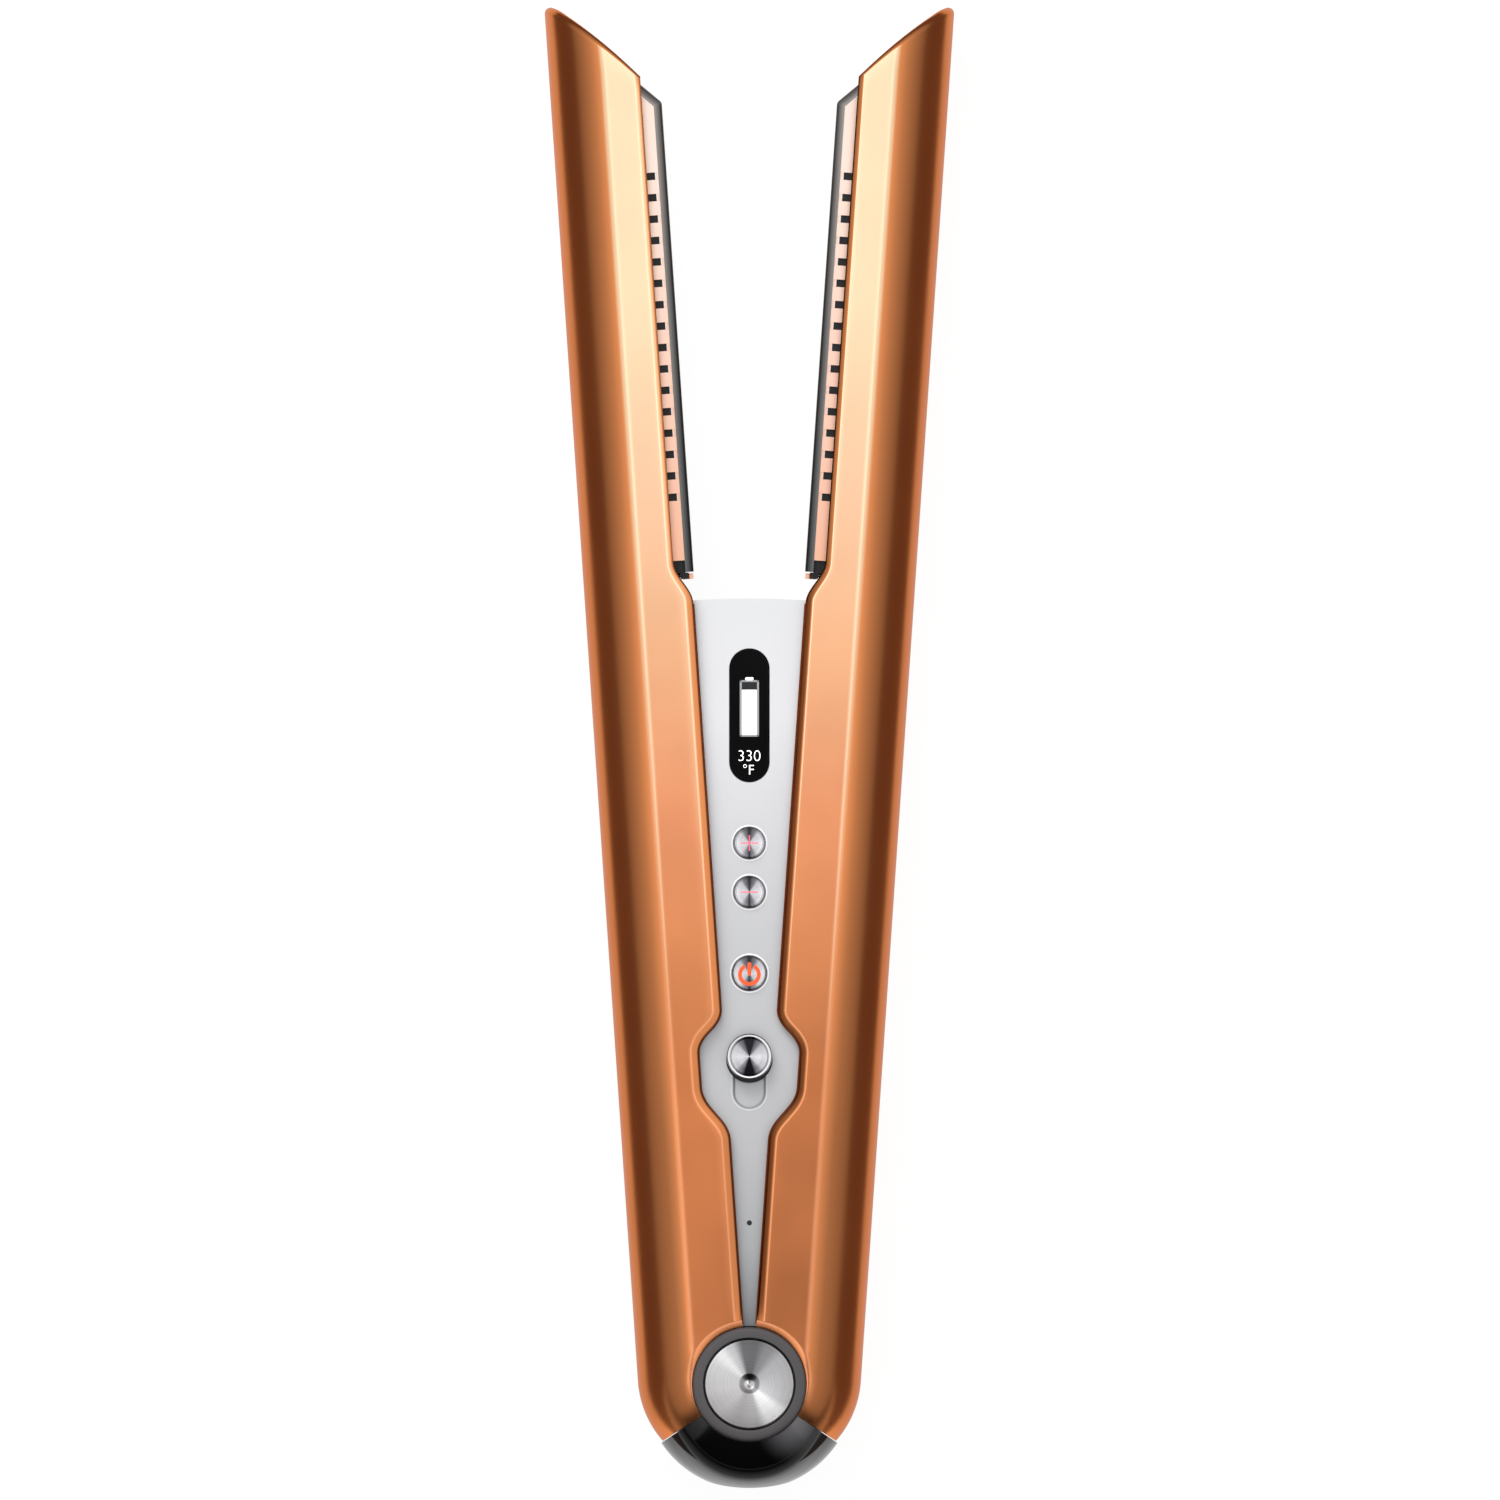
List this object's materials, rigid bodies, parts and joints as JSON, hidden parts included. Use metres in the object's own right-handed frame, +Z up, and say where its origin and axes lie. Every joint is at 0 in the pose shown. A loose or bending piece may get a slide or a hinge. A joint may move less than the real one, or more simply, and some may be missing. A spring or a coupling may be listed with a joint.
{
  "type": "flat iron",
  "caption": "Cordless hair-straightening iron: two copper shell arms sprung open on one hinge, floating heating plates, a control panel with a lit display, buttons and a slide lock.",
  "frame": {"origin": "centre of the flat rear hinge cap, on the hinge axis, where the back of the iron rests", "axes": "+Z up, out of the control panel, along the hinge axis; +Y from the hinge along the control panel to the tips; +X to the right arm as the panel is read"},
  "size_m": [0.0794, 0.2861, 0.0374],
  "materials": {
    "copper_shell": "satin copper-coloured anodised aluminium",
    "panel_plastic": "fine matt light grey ABS",
    "frame_nylon": "dark grey glass-filled nylon",
    "black_gloss": "polished black ABS",
    "display_glass": "black polycarbonate window",
    "light_pipe": "clear polycarbonate light pipe",
    "spun_metal": "circularly spun stainless steel",
    "steel": "plain steel",
    "ring_grey": "dark grey satin metal",
    "socket_metal": "turned aluminium",
    "bush_plastic": "natural acetal",
    "battery_wrap": "blue film over aluminium cells",
    "circuit_board": "green solder mask",
    "contact_gold": "gold-plated contacts",
    "plate_copper": "rose-coloured copper alloy",
    "plate_gunmetal": "dark polished plate face",
    "tray_black": "black heat-resistant nylon",
    "heater_film": "amber polyimide over alumina"
  },
  "bodies": {
    "control_body": {"front_fascia": "panel_plastic", "rear_cover": "panel_plastic", "core_chassis": "frame_nylon", "end_cap": "black_gloss", "display_lens": "display_glass", "display_module": "frame_nylon", "control_board": "circuit_board", "tact_switches": "frame_nylon", "status_light": "light_pipe", "lock_retainer": "frame_nylon", "battery_cell_1": "battery_wrap", "battery_cell_2": "battery_wrap", "battery_cell_3": "battery_wrap", "battery_cell_4": "battery_wrap", "battery_tabs": "steel", "case_screws": "steel", "hinge_pin": "steel", "hinge_spacer": "bush_plastic", "thrust_washers": "bush_plastic", "opening_spring": "steel", "front_hinge_ring": "ring_grey", "front_hinge_cap": "spun_metal", "rear_hinge_ring": "ring_grey", "rear_hinge_cap": "spun_metal", "socket_ring": "socket_metal", "socket_base": "black_gloss", "charge_contacts": "contact_gold", "socket_magnet": "steel", "charge_board": "circuit_board"},
    "left_arm": {"left_shell": "copper_shell", "left_spine": "frame_nylon", "left_latch_hook": "steel", "left_shell_screws": "steel", "left_plate_surround": "tray_black", "left_guide_pins": "steel", "left_float_springs": "steel"},
    "right_arm": {"right_shell": "copper_shell", "right_spine": "frame_nylon", "right_latch_hook": "steel", "right_shell_screws": "steel", "right_plate_surround": "tray_black", "right_guide_pins": "steel", "right_float_springs": "steel"},
    "left_plate": {"left_plate_face": "plate_gunmetal", "left_flex_plate": "plate_copper", "left_heater": "heater_film", "left_plate_carrier": "tray_black", "left_thermistor": "steel"},
    "right_plate": {"right_plate_face": "plate_gunmetal", "right_flex_plate": "plate_copper", "right_heater": "heater_film", "right_plate_carrier": "tray_black", "right_thermistor": "steel"},
    "plus_button": {"plus_button": "spun_metal"},
    "minus_button": {"minus_button": "spun_metal"},
    "power_button": {"power_button": "spun_metal"},
    "lock_slider": {"lock_knob": "spun_metal", "lock_carriage": "panel_plastic"}
  },
  "joints": [
    {"name": "right_arm_hinge", "type": "hinge", "parent": "control_body", "child": "right_arm", "pos_m": [0, 0, 0.0185], "axis": [0, 0, 1], "range_deg": [0, 3.9], "stiffness_Nm_per_rad": 0.8, "springref_deg": -14.32, "deforming": ["opening_spring"]},
    {"name": "left_arm_hinge", "type": "hinge", "parent": "control_body", "child": "left_arm", "pos_m": [0, 0, 0.0185], "axis": [0, 0, -1], "range_deg": [0, 3.9], "stiffness_Nm_per_rad": 0.8, "springref_deg": -14.32},
    {"name": "right_plate_float", "type": "slide", "parent": "right_arm", "child": "right_plate", "axis": [0.9977, -0.068, 0], "range_m": [0, 0.0004], "stiffness_N_per_m": 8000, "springref_m": -0.0005, "deforming": ["right_float_springs"]},
    {"name": "left_plate_float", "type": "slide", "parent": "left_arm", "child": "left_plate", "axis": [-0.9977, -0.068, 0], "range_m": [0, 0.0004], "stiffness_N_per_m": 8000, "springref_m": -0.0005, "deforming": ["left_float_springs"]},
    {"name": "plus_press", "type": "slide", "parent": "control_body", "child": "plus_button", "axis": [0, 0, -1], "range_m": [0, 0.0005], "stiffness_N_per_m": 900, "springref_m": -0.0004},
    {"name": "minus_press", "type": "slide", "parent": "control_body", "child": "minus_button", "axis": [0, 0, -1], "range_m": [0, 0.0005], "stiffness_N_per_m": 900, "springref_m": -0.0004},
    {"name": "power_press", "type": "slide", "parent": "control_body", "child": "power_button", "axis": [0, 0, -1], "range_m": [0, 0.0005], "stiffness_N_per_m": 900, "springref_m": -0.0004},
    {"name": "lock_slide", "type": "slide", "parent": "control_body", "child": "lock_slider", "axis": [0, -1, 0], "range_m": [0, 0.007]}
  ]
}
